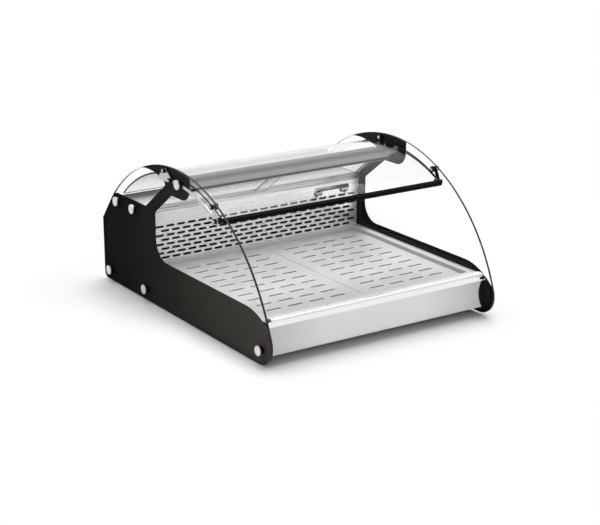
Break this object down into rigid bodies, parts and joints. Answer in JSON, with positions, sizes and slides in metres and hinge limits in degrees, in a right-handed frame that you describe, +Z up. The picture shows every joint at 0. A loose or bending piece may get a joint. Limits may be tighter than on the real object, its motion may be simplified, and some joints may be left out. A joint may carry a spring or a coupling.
{
  "type": "refrigerated display case",
  "caption": "Countertop refrigerated display case with arched glass ends, a sliding curved glass shield, a chilled well with slotted decks and sliding rear doors.",
  "frame": {"origin": "on the counter, under the middle of the case", "axes": "+Z up, +Y to the operator's side at the rear, +X to the right seen from the customer's side"},
  "size_m": [0.738, 0.9011, 0.417],
  "materials": {
    "glass": "clear polished",
    "black_print": "gloss",
    "black_steel": "satin",
    "steel": "brushed",
    "polished_steel": "polished",
    "galvanised": "matte",
    "aluminium": "satin",
    "chrome": "polished",
    "black_plastic": "satin",
    "white_plastic": "satin",
    "diffuser": "frosted",
    "foam": "matte",
    "rubber": "matte",
    "copper": "bright",
    "fins": "satin",
    "machine_black": "satin"
  },
  "bodies": {
    "case": {"end_glass_left": "glass", "end_glass_right": "glass", "end_prints": "black_print", "side_frame_left": "black_steel", "side_frame_right": "black_steel", "standoff_caps": "aluminium", "standoff_spacers": "black_plastic", "guide_plates": "steel", "guide_glides": "black_plastic", "guide_pins": "chrome", "lamp_housing": "aluminium", "lamp_brackets": "aluminium", "led_strip": "white_plastic", "led_diffuser": "diffuser", "door_track_upper": "aluminium", "door_track_lower": "aluminium", "front_panel": "polished_steel", "front_rim": "polished_steel", "well_flange": "steel", "well_basin": "steel", "well_floor": "steel", "deck_rib": "steel", "deck_plates": "steel", "insulation_tub": "foam", "base_tray": "galvanised", "feet": "rubber", "drain_spout": "white_plastic", "back_grille": "steel", "back_header": "polished_steel", "housing_cover": "steel", "service_panel": "steel", "service_screws": "steel", "partition": "foam", "evaporator_coil": "fins", "evaporator_fan_plate": "machine_black", "condenser_coil": "fins", "condenser_fan_shroud": "galvanised", "compressor": "machine_black", "filter_drier": "copper", "refrigerant_pipes": "copper", "electrical_box": "white_plastic", "thermostat_body": "black_plastic", "switch_frames": "black_plastic", "mains_inlet": "black_plastic"},
    "shield": {"shield_sheet": "glass", "shield_edge_bar": "black_plastic", "shield_handle": "chrome", "handle_screws": "steel"},
    "rear_door_left": {"door_left": "glass", "door_pull_left": "aluminium"},
    "rear_door_right": {"door_right": "glass", "door_pull_right": "aluminium"},
    "cold_fan_left": {"evaporator_fan_left": "black_plastic"},
    "cold_fan_right": {"evaporator_fan_right": "black_plastic"},
    "hot_fan": {"condenser_fan": "black_plastic"},
    "power_switch": {"power_rocker": "black_plastic"},
    "light_switch": {"light_rocker": "black_plastic"},
    "set_key": {"thermostat_key_set": "white_plastic"},
    "up_key": {"thermostat_key_up": "white_plastic"},
    "down_key": {"thermostat_key_down": "white_plastic"}
  },
  "joints": [
    {"name": "shield_slide", "type": "hinge", "parent": "case", "child": "shield", "pos_m": [0, 0.02457, -0.08], "axis": [1, 0, 0], "range_deg": [0, 32.8]},
    {"name": "door_left_slide", "type": "slide", "parent": "case", "child": "rear_door_left", "axis": [1, 0, 0], "range_m": [0, 0.33]},
    {"name": "door_right_slide", "type": "slide", "parent": "case", "child": "rear_door_right", "axis": [1, 0, 0], "range_m": [-0.33, 0]},
    {"name": "cold_fan_left_spin", "type": "hinge", "parent": "case", "child": "cold_fan_left", "pos_m": [-0.17, 0.18651, 0.154], "axis": [0, 1, 0], "continuous": true},
    {"name": "cold_fan_right_spin", "type": "hinge", "parent": "case", "child": "cold_fan_right", "pos_m": [0.17, 0.18651, 0.154], "axis": [0, 1, 0], "continuous": true},
    {"name": "hot_fan_spin", "type": "hinge", "parent": "case", "child": "hot_fan", "pos_m": [0.12, 0.38357, 0.092], "axis": [0, 1, 0], "continuous": true},
    {"name": "power_rocker_tilt", "type": "hinge", "parent": "case", "child": "power_switch", "pos_m": [0.06, 0.38808, 0.22718], "axis": [1, 0, 0], "range_deg": [0, 14]},
    {"name": "light_rocker_tilt", "type": "hinge", "parent": "case", "child": "light_switch", "pos_m": [0.11, 0.38808, 0.22718], "axis": [1, 0, 0], "range_deg": [0, 14]},
    {"name": "set_key_press", "type": "slide", "parent": "case", "child": "set_key", "axis": [0, -0.6611, -0.7503], "range_m": [0, 0.0008], "stiffness_N_per_m": 300},
    {"name": "up_key_press", "type": "slide", "parent": "case", "child": "up_key", "axis": [0, -0.6611, -0.7503], "range_m": [0, 0.0008], "stiffness_N_per_m": 300},
    {"name": "down_key_press", "type": "slide", "parent": "case", "child": "down_key", "axis": [0, -0.6611, -0.7503], "range_m": [0, 0.0008], "stiffness_N_per_m": 300}
  ]
}
